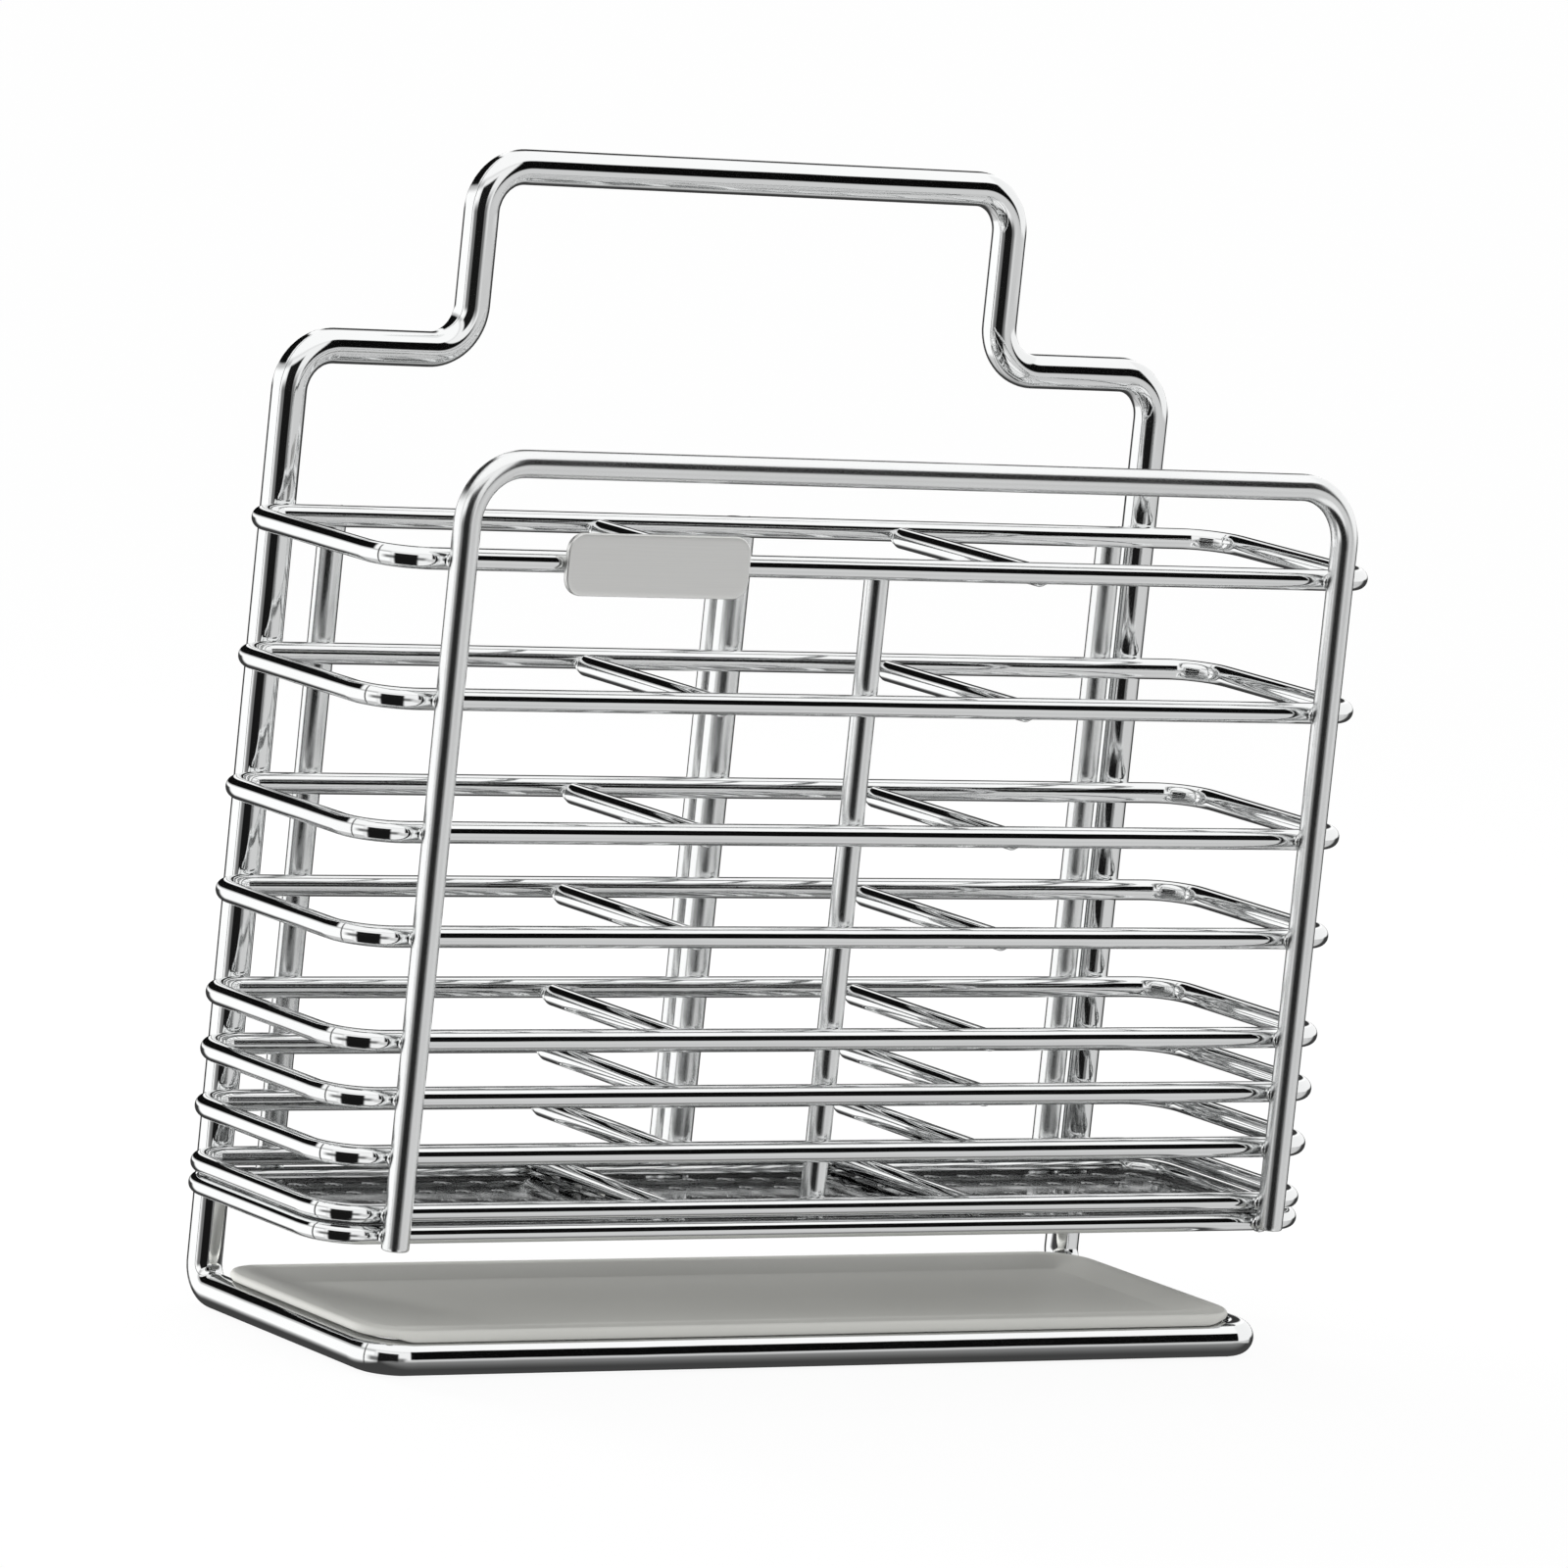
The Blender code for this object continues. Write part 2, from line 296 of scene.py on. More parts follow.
def satin_steel_plate():
    """Stainless strip, brushed along its length to a soft satin with fine lines."""
    material, tree = new_material("satin_brushed_steel_strip")
    place = add(tree, "ShaderNodeTexCoord").outputs["Object"]
    # Brush lines about 0.15 mm apart, drawn a little coarser than real ones
    along = add(tree, "ShaderNodeMapping", {"Vector": place, "Scale": (60.0, 3000.0, 6500.0)})
    lines = add(tree, "ShaderNodeTexNoise", {
        "Vector": along.outputs["Vector"], "Scale": 1.0, "Detail": 4.0,
    })
    gloss = add(tree, "ShaderNodeMapRange", {
        "Value": lines.outputs["Fac"], "To Min": 0.36, "To Max": 0.5,
    })
    tone = add(tree, "ShaderNodeMix", {
        0: lines.outputs["Fac"], 6: linear("#F3F3F1"), 7: linear("#EDEDEB"),
    }, data_type="RGBA")
    bump = add(tree, "ShaderNodeBump", {
        "Height": lines.outputs["Fac"], "Strength": 0.12, "Distance": 0.02 * MM,
    })
    shader = add(tree, "ShaderNodeBsdfPrincipled", {
        "Base Color": tone.outputs[2], "Metallic": 1.0, "Roughness": gloss.outputs["Result"],
        "Normal": bump.outputs["Normal"],
    })
    use_surface(tree, shader.outputs["BSDF"])
    return material


def perforated_steel():
    """Punched and chromed steel sheet, dished a little round each hole by the punch."""
    material, tree = new_material("chromed_perforated_sheet")
    place = add(tree, "ShaderNodeTexCoord").outputs["Object"]
    # Rolling waves about 12 mm long, and haze in patches of about 5 mm
    waves = add(tree, "ShaderNodeTexNoise", {"Vector": place, "Scale": 85.0, "Detail": 2.0})
    haze = add(tree, "ShaderNodeTexNoise", {"Vector": place, "Scale": 200.0, "Detail": 3.0})
    gloss = add(tree, "ShaderNodeMapRange", {
        "Value": haze.outputs["Fac"], "To Min": 0.05, "To Max": 0.11,
    })
    tone = add(tree, "ShaderNodeMix", {
        0: haze.outputs["Fac"], 6: linear("#A6A7A7"), 7: linear("#8E8F8F"),
    }, data_type="RGBA")
    bump = add(tree, "ShaderNodeBump", {
        "Height": waves.outputs["Fac"], "Strength": 0.08, "Distance": 0.6 * MM,
    })
    shader = add(tree, "ShaderNodeBsdfPrincipled", {
        "Base Color": tone.outputs[2], "Metallic": 1.0, "Roughness": gloss.outputs["Result"],
        "Normal": bump.outputs["Normal"],
    })
    use_surface(tree, shader.outputs["BSDF"])
    return material


def moulded_plastic():
    """Injection-moulded grey ABS with a fine spark-eroded texture, matte with a weak sheen."""
    material, tree = new_material("moulded_grey_abs")
    place = add(tree, "ShaderNodeTexCoord").outputs["Object"]
    # Texture grain of about 0.4 mm, and cloudy shade in patches of about 30 mm
    grain = add(tree, "ShaderNodeTexNoise", {"Vector": place, "Scale": 2500.0, "Detail": 2.0})
    cloud = add(tree, "ShaderNodeTexNoise", {"Vector": place, "Scale": 32.0, "Detail": 2.0})
    tone = add(tree, "ShaderNodeMix", {
        0: cloud.outputs["Fac"], 6: linear("#CBCBC6"), 7: linear("#C5C5C0"),
    }, data_type="RGBA")
    gloss = add(tree, "ShaderNodeMapRange", {
        "Value": grain.outputs["Fac"], "To Min": 0.46, "To Max": 0.6,
    })
    bump = add(tree, "ShaderNodeBump", {
        "Height": grain.outputs["Fac"], "Strength": 0.15, "Distance": 0.04 * MM,
    })
    shader = add(tree, "ShaderNodeBsdfPrincipled", {
        "Base Color": tone.outputs[2], "Roughness": gloss.outputs["Result"], "IOR": 1.53,
        "Normal": bump.outputs["Normal"],
    })
    use_surface(tree, shader.outputs["BSDF"])
    return material


# The share of plain white in the paper that the camera sees, over the paper's own light and shadow
PAPER_GLOW = 0.93

# A painted shadow on the paper under the holder, which only chrome shows: a dim glow in place of the
# room. Where it is whole and where it has faded out, as distances outside the holder's box in Y and in X,
# and its brightness up to the box and where it starts to fade.
PAINTED_SHADOW_Y_FULL = 4 * MM
PAINTED_SHADOW_Y_END = 20 * MM
PAINTED_SHADOW_X_FULL = -8 * MM
PAINTED_SHADOW_X_END = -3 * MM
PAINTED_SHADOW_INNER = 0.06
PAINTED_SHADOW_OUTER = 0.2


def studio_floor():
    """Matt white paper with a faint shadow. Chrome shows only a painted shadow under the holder, a dim
    glow that is darkest up to the holder's box.

    The holder's box is centred on the origin in X and Y, so a place's distance outside it is the
    place's coordinate without its sign, less the box's."""
    material, tree = new_material("white_studio_paper")
    light = add(tree, "ShaderNodeLightPath")
    paper = add(tree, "ShaderNodeBsdfDiffuse", {"Color": linear("#F4F4F4")})
    glow = add(tree, "ShaderNodeEmission", {"Color": linear("#FFFFFF"), "Strength": 1.0})
    share = add(tree, "ShaderNodeMath", {
        0: light.outputs["Is Camera Ray"], 1: PAPER_GLOW,
    }, operation="MULTIPLY")
    seen = add(tree, "ShaderNodeMixShader", {
        0: share.outputs[0], 1: paper.outputs[0], 2: glow.outputs[0],
    })
    place = add(tree, "ShaderNodeTexCoord").outputs["Object"]
    across = add(tree, "ShaderNodeVectorMath", {0: place}, operation="ABSOLUTE").outputs[0]
    outside = add(tree, "ShaderNodeVectorMath", {0: across, 1: cad_box[1]}, operation="SUBTRACT")
    sides = add(tree, "ShaderNodeSeparateXYZ", {"Vector": outside.outputs[0]})
    # Painted shadow for the chrome: near the holder the paper glows dimly, darkest up to the holder's
    # box, and fades out to clear beyond it.
    in_y = add(tree, "ShaderNodeMapRange", {
        "Value": sides.outputs["Y"], "From Min": PAINTED_SHADOW_Y_END, "From Max": PAINTED_SHADOW_Y_FULL,
    }, interpolation_type="SMOOTHSTEP")
    in_x = add(tree, "ShaderNodeMapRange", {
        "Value": sides.outputs["X"], "From Min": PAINTED_SHADOW_X_END, "From Max": PAINTED_SHADOW_X_FULL,
    }, interpolation_type="SMOOTHSTEP")
    shaded = add(tree, "ShaderNodeMath", {
        0: in_y.outputs["Result"], 1: in_x.outputs["Result"],
    }, operation="MULTIPLY")
    depth = add(tree, "ShaderNodeMapRange", {
        "Value": sides.outputs["Y"], "From Max": PAINTED_SHADOW_Y_FULL,
        "To Min": PAINTED_SHADOW_INNER, "To Max": PAINTED_SHADOW_OUTER,
    })
    clear = add(tree, "ShaderNodeBsdfTransparent")
    shade = add(tree, "ShaderNodeEmission", {
        "Color": linear("#FFFFFF"), "Strength": depth.outputs["Result"],
    })
    mirrored = add(tree, "ShaderNodeMixShader", {
        0: shaded.outputs[0], 1: clear.outputs[0], 2: shade.outputs[0],
    })
    surface = add(tree, "ShaderNodeMixShader", {
        0: light.outputs["Is Glossy Ray"], 1: seen.outputs[0], 2: mirrored.outputs[0],
    })
    use_surface(tree, surface.outputs[0])
    return material


chrome = chrome_plated_wire("chrome_plated_drawn_wire", clearest=0.035, haziest=0.085)
soft_chrome = chrome_plated_wire("chrome_plated_straightened_wire", clearest=0.19, haziest=0.24)
satin = satin_steel_plate()
perforated = perforated_steel()
plastic = moulded_plastic()
paper = studio_floor()


# The wires of the basket

def ring_path(node):
    """A ring's rounded rectangle, and its wire's radius."""
    middle, half = middle_and_half(node)
    radius = half[2]
    x = half[0] - radius
    y = half[1] - radius
    corners = middle + np.array([(-x, -y, 0), (x, -y, 0), (x, y, 0), (-x, y, 0)])
    return bent_path(corners, [RING_CORNER] * 4), radius


def straight_path(node, axis):
    """A straight wire's two ends, and its radius."""
    middle, half = middle_and_half(node)
    radius = half[(axis + 1) % 3]
    reach = np.eye(3)[axis] * half
    return bent_path(np.array([middle - reach, middle + reach]), [0, 0]), radius


for number in range(1, RINGS + 1):
    path, radius = ring_path(f"ring_{number}")
    ring = wire(f"basket_ring_{number}", path, radius, chrome, closed=True)
    finish_piece(ring, "ring_chrome", f"ring_{number}")

for side in ("left", "right"):
    for number in range(1, PARTITIONS + 1):
        node = f"partition_{side}_{number}"
        path, radius = straight_path(node, axis=1)
        crosswire = wire(f"crosswire_{side}_{number}", path, radius, chrome)
        finish_piece(crosswire, "partition_chrome", node)

for node in (
    "front_centre_wire", "back_wire_left", "back_wire_right", "back_wire_middle", "back_wire_rear",
):
    path, radius = straight_path(node, axis=2)
    finish_piece(wire(f"upright_{node}", path, radius, soft_chrome), "wire_chrome", node)


# The arch in front

arch_middle, arch_half = middle_and_half("front_arch")
arch_radius = arch_half[1]
arch_top = arch_middle[2] + arch_half[2] - arch_radius
arch_left_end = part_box("front_arch")[0][2]
arch_x = arch_half[0] - arch_radius
arch_y = arch_middle[1]
arch_corners = np.array([
    (-arch_x, arch_y, arch_left_end),
    (-arch_x, arch_y, arch_top),
    (arch_x, arch_y, arch_top),
    (arch_x, arch_y, arch_left_end + ARCH_STEP),
])
arch_path = bent_path(arch_corners, [0, ARCH_BEND, ARCH_BEND, 0])
arch = wire("arch_wire", arch_path, arch_radius, soft_chrome)
finish_piece(arch, "wire_chrome", "front_arch")


# The closed wire that makes the handle, shoulders, legs and bottom loop

frame_low, frame_high = (np.array(corner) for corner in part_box("frame"))
frame_x = (frame_low[0] + frame_high[0]) / 2
leg = (frame_high[0] - frame_low[0]) / 2 - FRAME_RADIUS
leg_y = frame_high[1] - FRAME_RADIUS
loop_y = frame_low[1] + FRAME_RADIUS
loop_z = frame_low[2] + FRAME_RADIUS
handle_z = frame_high[2] - FRAME_RADIUS
shoulder_z = handle_z - SHOULDER_DROP
left_half = np.array([
    (-HANDLE_WIDTH / 2, leg_y, handle_z),
    (-HANDLE_WIDTH / 2, leg_y, shoulder_z),
    (-leg, leg_y, shoulder_z),
    (-leg, leg_y, loop_z),
    (-leg, loop_y, loop_z),
])
frame_corners = np.vstack([left_half, left_half[::-1] * (-1, 1, 1)]) + (frame_x, 0, 0)
left_radii = [FRAME_BEND, FRAME_BEND, FRAME_BEND, FOOT_BEND, LOOP_CORNER]
frame_path = bent_path(frame_corners, left_radii + left_radii[::-1])
frame_wire = wire("handle_and_loop_wire", frame_path, FRAME_RADIUS, chrome, closed=True)
finish_piece(frame_wire, "frame_chrome", "frame")


# Weld beads where wires cross

# Half sizes of those outside the rings, of those behind the rings' front bars and of those at the
# crosswires' ends, and how far the first two stand off the ring's surface
OUTER_BEAD = (2.0 * MM, 1.0 * MM, 1.7 * MM)
INNER_BEAD = (1.9 * MM, 0.9 * MM, 1.6 * MM)
CROSSWIRE_BEAD = (2.1 * MM, 1.1 * MM, 1.6 * MM)
BEAD_GAP = 0.15 * MM
BEAD_SIDES = 12
BEAD_ROWS = 5


def weld_beads(name, centres, sizes):
    """Flattened balls: centre + size * (cos e cos a, cos e sin a, sin e) for each weld."""
    around = np.linspace(0, math.tau, BEAD_SIDES, endpoint=False)[None, :]
    height = np.linspace(-math.pi / 2, math.pi / 2, BEAD_ROWS + 2)[1:-1, None]
    ball = np.stack([
        np.cos(height) * np.cos(around), np.cos(height) * np.sin(around), np.sin(height) + 0 * around,
    ], axis=-1).reshape(-1, 3)
    pole = len(ball)
    ball = np.vstack([ball, (0, 0, -1), (0, 0, 1)])
    points = centres[:, None] + sizes[:, None] * ball
    step = np.arange(BEAD_SIDES)
    beside = (step + 1) % BEAD_SIDES
    top = pole - BEAD_SIDES
    low = np.stack([beside, step, np.full(BEAD_SIDES, pole)], axis=-1)
    high = np.stack([top + step, top + beside, np.full(BEAD_SIDES, pole + 1)], axis=-1)
    offset = (np.arange(len(centres)) * len(ball))[:, None, None]
    groups = (grid_faces(BEAD_ROWS, BEAD_SIDES, False), low, high)
    faces = [(group + offset).reshape(-1, group.shape[-1]) for group in groups]
    return make_object(name, points, faces, chrome)


def crossing_welds():
    """Centres and half sizes of the welds between the rings and every wire that crosses them."""
    centres = []
    sizes = []
    front_x = [-arch_x, arch_x]
    back_x = [frame_x - leg, frame_x + leg]
    for node in ("back_wire_left", "back_wire_right", "back_wire_middle"):
        back_x.append(middle_and_half(node)[0][0])
    centre_x = middle_and_half("front_centre_wire")[0][0]
    for number in range(1, RINGS + 1):
        middle, half = middle_and_half(f"ring_{number}")
        for x in front_x:
            centres.append((x, middle[1] - half[1] - BEAD_GAP, middle[2]))
            sizes.append(OUTER_BEAD)
        for x in back_x:
            centres.append((x, middle[1] + half[1] + BEAD_GAP, middle[2]))
            sizes.append(OUTER_BEAD)
        centres.append((centre_x, middle[1] - half[1] + 2 * half[2] + BEAD_GAP, middle[2]))
        sizes.append(INNER_BEAD)
    for side in ("left", "right"):
        for number in range(1, PARTITIONS + 1):
            middle, half = middle_and_half(f"partition_{side}_{number}")
            for end in (-1, 1):
                centres.append((middle[0], middle[1] + end * half[1], middle[2]))
                sizes.append(CROSSWIRE_BEAD)
    return np.array(centres), np.array(sizes)


finish_piece(weld_beads("weld_beads", *crossing_welds()), "wire_chrome")


# Plates: a stack of rounded rectangles, closed at both ends

# The least radius that an outline's corners keep when it is drawn in
LEAST_CORNER = 0.3 * MM


def rounded_outline(half_x, half_y, corner):
    """A rounded rectangle's points, once round, for arrays of half sizes and corner radii.

    They are a corner's middle + its radius * (cos a, sin a), for a quarter turn at each corner."""
    turn = np.linspace(0, math.pi / 2, CORNER_STEPS + 1)
    quarter = np.arange(4)[:, None] * math.pi / 2
    angle = (quarter + turn - math.pi).ravel()
    corner_x = np.repeat([-1, 1, 1, -1], CORNER_STEPS + 1)
    corner_y = np.repeat([-1, -1, 1, 1], CORNER_STEPS + 1)
    x = (half_x - corner)[:, None] * corner_x + corner[:, None] * np.cos(angle)
    y = (half_y - corner)[:, None] * corner_y + corner[:, None] * np.sin(angle)
    return x, y


def stacked_plate(name, half_x, half_y, corner, profile, place, material, smooth_angle):
    """Outlines drawn in by each inset of the profile at its height, closed by a flat face at each end."""
    inset, height = np.array(profile).T
    x, y = rounded_outline(half_x - inset, half_y - inset, np.maximum(corner - inset, LEAST_CORNER))
    z = np.broadcast_to(height[:, None], x.shape)
    rows, columns = x.shape
    points = place(np.stack([x, y, z], axis=-1).reshape(-1, 3))
    column = np.arange(columns)
    caps = [[column[::-1].tolist()], [((rows - 1) * columns + column).tolist()]]
    return make_object(name, points, [grid_faces(rows, columns, False), *caps], material, smooth_angle)


def round_edge(inset, height, radius, start, end):
    """Profile points of an arc: middle + radius * (-cos a, sin a), from the start to the end angle."""
    turn = np.radians(np.linspace(start, end, EDGE_STEPS + 1))
    return [(inset - radius * math.cos(a), height + radius * math.sin(a)) for a in turn]


# The blank plate on the top ring

# Its corners, its edges' rounding, and the insets of the outlines that close its back and its face
PLATE_CORNER = 3.2 * MM
PLATE_EDGE = 0.35 * MM
PLATE_BACK_INSET = 3.0 * MM
PLATE_FACE_INSET = 1.0 * MM

plate_middle, plate_half = middle_and_half("name_plate")
plate_profile = [
    (PLATE_BACK_INSET, -plate_half[1]),
    *round_edge(PLATE_EDGE, -plate_half[1] + PLATE_EDGE, PLATE_EDGE, -90, 0),
    *round_edge(PLATE_EDGE, plate_half[1] - PLATE_EDGE, PLATE_EDGE, 0, 90),
    (PLATE_FACE_INSET, plate_half[1]),
]


def stand_plate(points):
    """Turns the plate upright, so that its height runs towards the viewer."""
    return plate_middle + np.stack([points[:, 0], -points[:, 2], points[:, 1]], axis=-1)


plate = stacked_plate(
    "blank_name_plate", plate_half[0], plate_half[2], PLATE_CORNER, plate_profile, stand_plate, satin,
    smooth_angle=40,
)
finish_piece(plate, "plate_satin", "name_plate")


# The drip tray

# Its corners, the rim's thickness and the rounding of its edges
TRAY_CORNER = 8.5 * MM
TRAY_WALL = 1.6 * MM
TRAY_EDGE = 0.75 * MM

# Widths of its flat rim and of the slope inside it, the bend's length at the slope's start and end,
# how far the pan lies below the rim underneath and on top, and the inset of the outlines that close it
TRAY_RIM = 3.0 * MM
TRAY_SLOPE = 6.5 * MM
TRAY_CREASE = 0.4 * MM
TRAY_DROP = 0.8 * MM
TRAY_PRESS = 1.3 * MM
TRAY_PAN_INSET = 11.0 * MM

# How far the front edge is turned down, and how far back from the edge that starts
TRAY_LIP = 0.8 * MM
TRAY_LIP_REACH = 1.4 * MM


def slope_profile(top, drop):
    """The straight way down from the rim to the pan, with a small bend at its start and its end."""
    rounding = TRAY_CREASE / 2
    lean = rounding * drop / TRAY_SLOPE
    return [
        (TRAY_RIM - rounding, top),
        (TRAY_RIM + rounding, top - lean),
        (TRAY_RIM + TRAY_SLOPE - rounding, top - drop + lean),
        (TRAY_RIM + TRAY_SLOPE + rounding, top - drop),
    ]


tray_middle, tray_half = middle_and_half("drip_tray")
rim_top = tray_half[2]
rim_under = rim_top - TRAY_WALL
tray_profile = [
    (TRAY_PAN_INSET, rim_under - TRAY_DROP),
    *slope_profile(rim_under, TRAY_DROP)[::-1],
    *round_edge(TRAY_EDGE, rim_under + TRAY_EDGE, TRAY_EDGE, -90, 0),
    *round_edge(TRAY_EDGE, rim_top - TRAY_EDGE, TRAY_EDGE, 0, 90),
    *slope_profile(rim_top, TRAY_PRESS),
    (TRAY_PAN_INSET, rim_top - TRAY_PRESS),
]


def place_tray(points):
    """Puts the tray in its place, with its front edge turned down a little over the loop's bar.

    A point goes down by lip * smooth step towards the front edge * its share of the rim's depth."""
    x, y, z = points.T
    forward = np.clip((TRAY_LIP_REACH - tray_half[1] - y) / TRAY_LIP_REACH, 0, 1)
    below = np.clip((rim_top - z) / TRAY_WALL, 0, 1)
    turned = TRAY_LIP * forward**2 * (3 - 2 * forward) * below
    return tray_middle + np.stack([x, y, z - turned], axis=-1)


tray = stacked_plate(
    "drip_tray_moulding", tray_half[0], tray_half[1], TRAY_CORNER, tray_profile, place_tray, plastic,
    smooth_angle=60,
)
finish_piece(tray, "tray_plastic", "drip_tray", body="tray")


# The perforated basket floor

# Its corners, its holes' radius and pitch, the least distance from a hole's middle to the sheet's
# edge, steps along a side of a hole's cell, and the rounding of the holes' and sheet's edges
FLOOR_CORNER = 5.9 * MM
HOLE_RADIUS = 1.3 * MM
HOLE_PITCH = 7.4 * MM
HOLE_MARGIN = 5.0 * MM
CELL_STEPS = 4
PUNCHED_EDGE = 0.42 * MM

# Points nearer than this are one point
MERGE_DISTANCE = 0.01 * MM

floor_middle, floor_half = middle_and_half("basket_floor")


def punched_cells(columns, rows):
    """Points and quads of square cells with a round hole each.

    A cell's quads join each point of its square to the point of the circle on the same ray."""
    side = np.linspace(-1, 1, CELL_STEPS + 1)[:-1]
    ones = np.ones(CELL_STEPS)
    square = np.vstack([
        np.stack([side, -ones], axis=-1), np.stack([ones, side], axis=-1),
        np.stack([-side, ones], axis=-1), np.stack([-ones, -side], axis=-1),
    ]) * HOLE_PITCH / 2
    circle = unit(square) * HOLE_RADIUS
    centre_x = (np.arange(columns) - (columns - 1) / 2) * HOLE_PITCH
    centre_y = (np.arange(rows) - (rows - 1) / 2) * HOLE_PITCH
    centres = np.stack(np.meshgrid(centre_x, centre_y), axis=-1).reshape(-1, 1, 2)
    cells = np.concatenate([centres + circle, centres + square], axis=1)
    count = len(square)
    step = np.arange(count)
    beside = (step + 1) % count
    quads = np.stack([step, count + step, count + beside, beside], axis=-1)
    offset = (np.arange(len(cells)) * 2 * count)[:, None, None]
    return cells.reshape(-1, 2), (quads + offset).reshape(-1, 4)


def sheet_border(columns, rows, first):
    """Points and faces from the cells out to the rounded outline, with points numbered from first.

    Each side is a strip between its straight run of the outline and as many points along the cells,
    and each corner is a fan from the cells' corner to its arc."""
    edge = np.array([columns, rows]) * HOLE_PITCH / 2
    outline_x, outline_y = rounded_outline(floor_half[:1], floor_half[1:2], np.array([FLOOR_CORNER]))
    arc = np.stack([outline_x[0], outline_y[0]], axis=-1).reshape(4, -1, 2)
    steps = (columns * CELL_STEPS, rows * CELL_STEPS) * 2
    signs = np.array([(-1, -1), (1, -1), (1, 1), (-1, 1)])
    points = []
    faces = []
    for index in range(4):
        after = (index + 1) % 4
        run = steps[index] + 1
        share = np.linspace(0, 1, run)[:, None]
        inner = edge * (signs[index] * (1 - share) + signs[after] * share)
        outer = arc[index, -1] * (1 - share) + arc[after, 0] * share
        strip = np.arange(steps[index])
        faces.append(first + np.stack([strip, run + strip, run + strip + 1, strip + 1], axis=-1))
        first += 2 * run
        fan = np.arange(len(arc[index]) - 1)
        faces.append(first + np.stack([0 * fan, fan + 1, fan + 2], axis=-1))
        first += 1 + len(arc[index])
        points += [inner, outer, edge * signs[index][None], arc[index]]
    return points, faces


def perforated_sheet(name):
    """A flat sheet of punched cells in a border, at the middle of the CAD sheet's thickness."""
    columns = int((2 * floor_half[0] - 2 * HOLE_MARGIN) / HOLE_PITCH) + 1
    rows = int((2 * floor_half[1] - 2 * HOLE_MARGIN) / HOLE_PITCH) + 1
    cells, cell_faces = punched_cells(columns, rows)
    border, border_faces = sheet_border(columns, rows, len(cells))
    flat = np.vstack([cells, *border])
    points = np.column_stack([flat + floor_middle[:2], np.full(len(flat), floor_middle[2])])
    return make_object(name, points, [cell_faces, *border_faces], perforated)


def merge_close_points(piece):
    """Joins the points that neighbouring cells share, and turns all faces the same way."""
    bm = bmesh.new()
    bm.from_mesh(piece.data)
    bmesh.ops.remove_doubles(bm, verts=bm.verts, dist=MERGE_DISTANCE)
    bmesh.ops.recalc_face_normals(bm, faces=bm.faces)
    bm.to_mesh(piece.data)
    bm.free()


basket_floor = perforated_sheet("perforated_basket_floor")
merge_close_points(basket_floor)
sheet_thickness = basket_floor.modifiers.new("sheet_thickness", "SOLIDIFY")
sheet_thickness.thickness = 2 * floor_half[2]
sheet_thickness.offset = 0
punched_edge = basket_floor.modifiers.new("punched_edge", "BEVEL")
punched_edge.width = PUNCHED_EDGE
punched_edge.segments = 2
punched_edge.harden_normals = True
punched_edge.limit_method = "ANGLE"
finish_piece(basket_floor, "floor_steel", "basket_floor")


# The studio: white all round for the camera, and cards in a pale room for the chrome

# The paper's reach each way in metres, and its height, just under the loop
PAPER_REACH = 9
PAPER_HEIGHT = -0.2 * MM

paper_corners = [(x, y, PAPER_HEIGHT) for x, y in (
    (-PAPER_REACH, -PAPER_REACH), (PAPER_REACH, -PAPER_REACH),
    (PAPER_REACH, PAPER_REACH), (-PAPER_REACH, PAPER_REACH),
)]
make_object("studio_paper", paper_corners, [[[0, 1, 2, 3]]], paper)

# The direction that the photograph's camera looks in
AHEAD = (0.5549, 0.8206, -0.1363)

# White and dark cards round the holder. Each is placed by the way that chrome faces where the
# photograph shows the card in it: azimuth from, to and the softness of its edges, then the same for
# elevation, all in degrees, and its brightness. Azimuth 0 faces the front, and -90 the left.
STUDIO_CARDS = (
    (-150, -50, 6, -27, 20, 6, 1.2),
    (-150, -70, 4, 25, 61, 4, 0.004),
    (-50, -8, 4, -36, 26, 4, 1.05),
    (-13, 22, 4, -12, 2, 4, 0.72),
    (9, 75, 3, 3, 60, 3, 1.05),
    (-8, 9, 2, 4, 29, 3, 0.003),
    (-58, -14, 9, -7, 7, 10, 0.2),
    (-47, -23, 3, -38, 20, 3, 0.01),
    (-64.6, -62.9, 0.8, -70, 60, 0.8, 0.1),
)

# Brightness of the room behind the cards, by the elevation that chrome faces
ROOM_SHADES = (
    (-90, 0.12), (-58, 0.24), (-44, 0.62), (-30, 0.72), (-8, 0.62),
    (24, 0.62), (30, 1.15), (70, 1.15), (76, 0.04),
)

# A dark backdrop ahead, up to eye level, which draws the thin dark line along each wire's edges.
# Its reach is measured on a ball of radius 1 round the holder, straight from AHEAD, and its top is
# the height there: where it is whole, and where it has faded out.
BACKDROP_REACH = (0.72, 0.94)
BACKDROP_TOP = (-0.08, 0.02)
BACKDROP_SHADE = 0.05


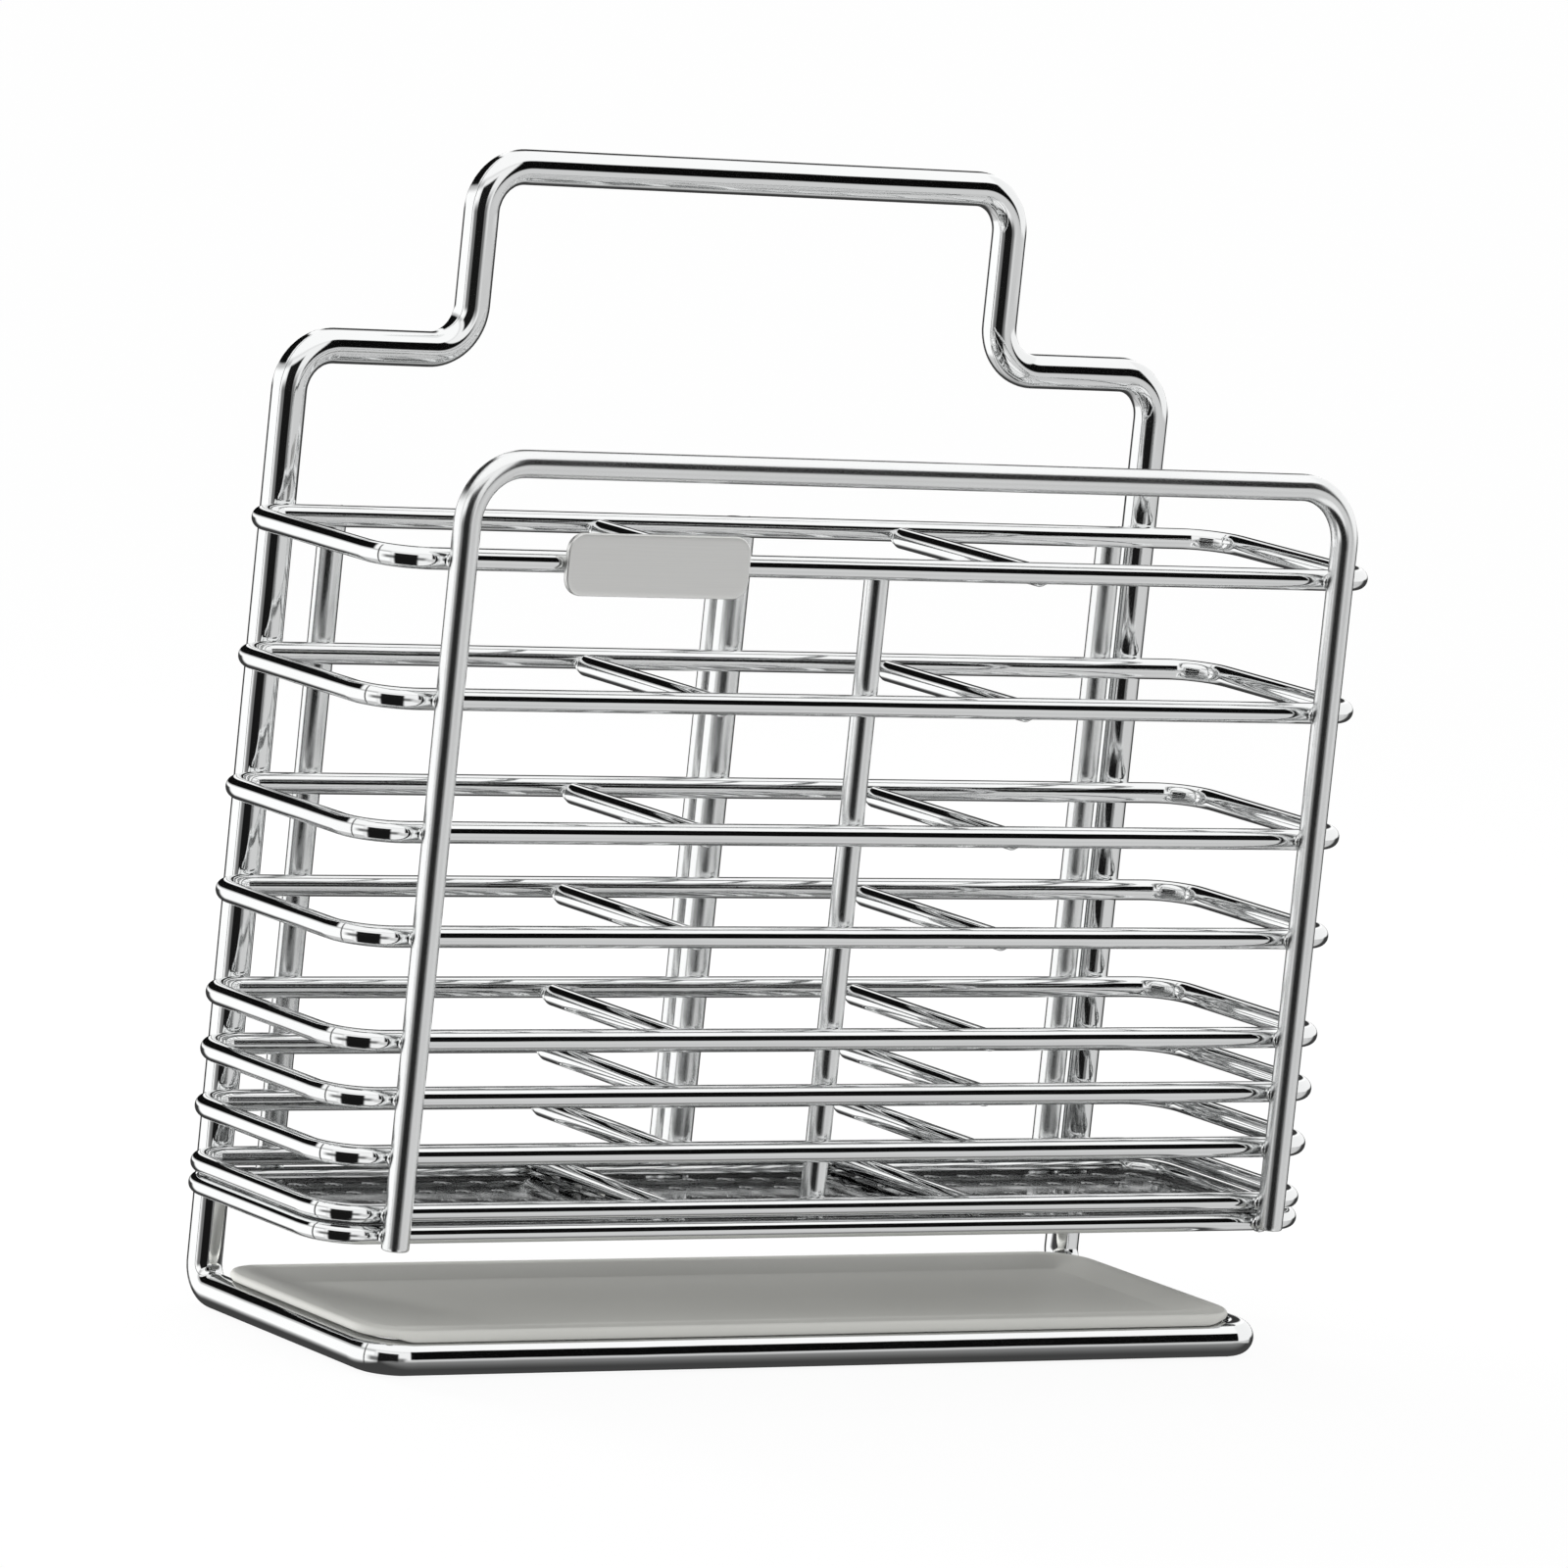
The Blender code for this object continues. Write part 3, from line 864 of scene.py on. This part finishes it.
def studio_world():
    """A pale room for the chrome, with the cards painted over, and plain white for all else.

    The way that chrome faces to show a direction to the camera is half way between that direction
    and the one back to the camera."""
    world = bpy.data.worlds.new("studio")
    world.use_nodes = True
    tree = world.node_tree
    tree.nodes.clear()
    direction = add(tree, "ShaderNodeTexCoord").outputs["Generated"]
    apart = add(tree, "ShaderNodeVectorMath", {0: direction, 1: AHEAD}, operation="SUBTRACT").outputs[0]
    facing = add(tree, "ShaderNodeVectorMath", {0: apart}, operation="NORMALIZE")
    parts = add(tree, "ShaderNodeSeparateXYZ", {"Vector": facing.outputs[0]})
    forward = add(tree, "ShaderNodeMath", {0: parts.outputs["Y"], 1: -1.0}, operation="MULTIPLY")
    azimuth = add(tree, "ShaderNodeMath", {
        0: parts.outputs["X"], 1: forward.outputs[0],
    }, operation="ARCTAN2")
    elevation = add(tree, "ShaderNodeMath", {0: parts.outputs["Z"]}, operation="ARCSINE")
    room = add(tree, "ShaderNodeValToRGB", {
        "Fac": add(tree, "ShaderNodeMapRange", {
            "Value": elevation.outputs[0], "From Min": -math.pi / 2, "From Max": math.pi / 2,
        }).outputs["Result"],
    })
    stops = room.color_ramp.elements
    for index, (degrees, shade) in enumerate(ROOM_SHADES):
        position = (degrees + 90) / 180
        stop = stops[index] if index < 2 else stops.new(position)
        stop.position = position
        stop.color = (shade, shade, shade, 1)
    colour = room.outputs["Color"]
    for *across, shade in STUDIO_CARDS:
        inside = []
        for angle, (first, last, soft) in ((azimuth, across[:3]), (elevation, across[3:])):
            middle = math.radians((first + last) / 2)
            half = math.radians((last - first) / 2)
            edge = math.radians(soft) / 2
            away = add(tree, "ShaderNodeMath", {0: angle.outputs[0], 1: middle}, operation="SUBTRACT")
            near = add(tree, "ShaderNodeMath", {
                0: away.outputs[0], 1: math.pi, 2: -math.pi,
            }, operation="WRAP")
            size = add(tree, "ShaderNodeMath", {0: near.outputs[0]}, operation="ABSOLUTE")
            inside.append(add(tree, "ShaderNodeMapRange", {
                "Value": size.outputs[0], "From Min": half + edge, "From Max": half - edge,
            }, interpolation_type="SMOOTHSTEP"))
        cover = add(tree, "ShaderNodeMath", {
            0: inside[0].outputs["Result"], 1: inside[1].outputs["Result"],
        }, operation="MULTIPLY")
        colour = add(tree, "ShaderNodeMix", {
            0: cover.outputs[0], 6: colour, 7: (shade, shade, shade, 1),
        }, data_type="RGBA").outputs[2]
    spread = add(tree, "ShaderNodeVectorMath", {0: apart}, operation="LENGTH")
    ahead = add(tree, "ShaderNodeMapRange", {
        "Value": spread.outputs["Value"], "From Min": BACKDROP_REACH[1], "From Max": BACKDROP_REACH[0],
    }, interpolation_type="SMOOTHSTEP")
    height = add(tree, "ShaderNodeSeparateXYZ", {"Vector": direction})
    below = add(tree, "ShaderNodeMapRange", {
        "Value": height.outputs["Z"], "From Min": BACKDROP_TOP[1], "From Max": BACKDROP_TOP[0],
    }, interpolation_type="SMOOTHSTEP")
    backdrop = add(tree, "ShaderNodeMath", {
        0: ahead.outputs["Result"], 1: below.outputs["Result"],
    }, operation="MULTIPLY")
    colour = add(tree, "ShaderNodeMix", {
        0: backdrop.outputs[0], 6: colour, 7: (BACKDROP_SHADE, BACKDROP_SHADE, BACKDROP_SHADE, 1),
    }, data_type="RGBA").outputs[2]
    light = add(tree, "ShaderNodeLightPath")
    reflected = add(tree, "ShaderNodeBackground", {"Color": colour, "Strength": 1.0})
    plain = add(tree, "ShaderNodeBackground", {"Color": linear("#FFFFFF"), "Strength": 1.0})
    result = add(tree, "ShaderNodeMixShader", {
        0: light.outputs["Is Glossy Ray"], 1: plain.outputs[0], 2: reflected.outputs[0],
    })
    add(tree, "ShaderNodeOutputWorld", {"Surface": result.outputs[0]})
    return world


bpy.context.scene.world = studio_world()


# The side of a lamp's square, and its distance from the origin, in metres
LAMP_SIDE = 0.22
LAMP_AWAY = 0.7


def low_lamp(name, azimuth, elevation, brightness):
    """A soft lamp that reaches the tray under the basket, and doesn't show in the chrome.

    Its light on a surface that faces it is that brightness, where 1 shows white as white. It is
    pi squared * brightness * distance squared watts."""
    lamp = bpy.data.lights.new(name, "AREA")
    lamp.shape = "SQUARE"
    lamp.size = LAMP_SIDE
    lamp.energy = brightness * math.pi**2 * LAMP_AWAY**2
    turn = math.radians(azimuth)
    rise = math.radians(elevation)
    towards = Vector((math.sin(turn) * math.cos(rise), -math.cos(turn) * math.cos(rise), math.sin(rise)))
    placed = bpy.data.objects.new(name, lamp)
    facing = towards.to_track_quat("Z", "Y").to_matrix().to_4x4()
    placed.matrix_world = Matrix.Translation(towards * LAMP_AWAY) @ facing
    placed.visible_glossy = False
    placed.visible_camera = False
    bpy.context.scene.collection.objects.link(placed)


low_lamp("lamp_behind_left", azimuth=-152, elevation=12, brightness=1.0)
low_lamp("lamp_behind_right", azimuth=175, elevation=12, brightness=0.4)


# The camera's focal length in mm for a sensor 36 mm wide, its place, and its own right
CAMERA_LENS = 254.33
CAMERA_SENSOR = 36
CAMERA_PLACE = (-1.07876, -1.59313, 0.36191)
CAMERA_RIGHT = (0.8318, -0.5455, 0.1022)


def photo_camera():
    """The photograph's camera: a long lens, low on the left, turned a little clockwise."""
    lens = bpy.data.cameras.new("photo_camera")
    lens.lens = CAMERA_LENS
    lens.sensor_width = CAMERA_SENSOR
    lens.clip_start = 0.1
    lens.clip_end = 30
    right = Vector(CAMERA_RIGHT).normalized()
    ahead = Vector(AHEAD).normalized()
    up = right.cross(ahead).normalized()
    right = ahead.cross(up).normalized()
    camera = bpy.data.objects.new("photo_camera", lens)
    placed = Matrix((right, up, -ahead)).transposed().to_4x4()
    placed.translation = CAMERA_PLACE
    camera.matrix_world = placed
    bpy.context.scene.collection.objects.link(camera)
    bpy.context.scene.camera = camera


photo_camera()
bpy.context.scene.view_settings.view_transform = "Standard"
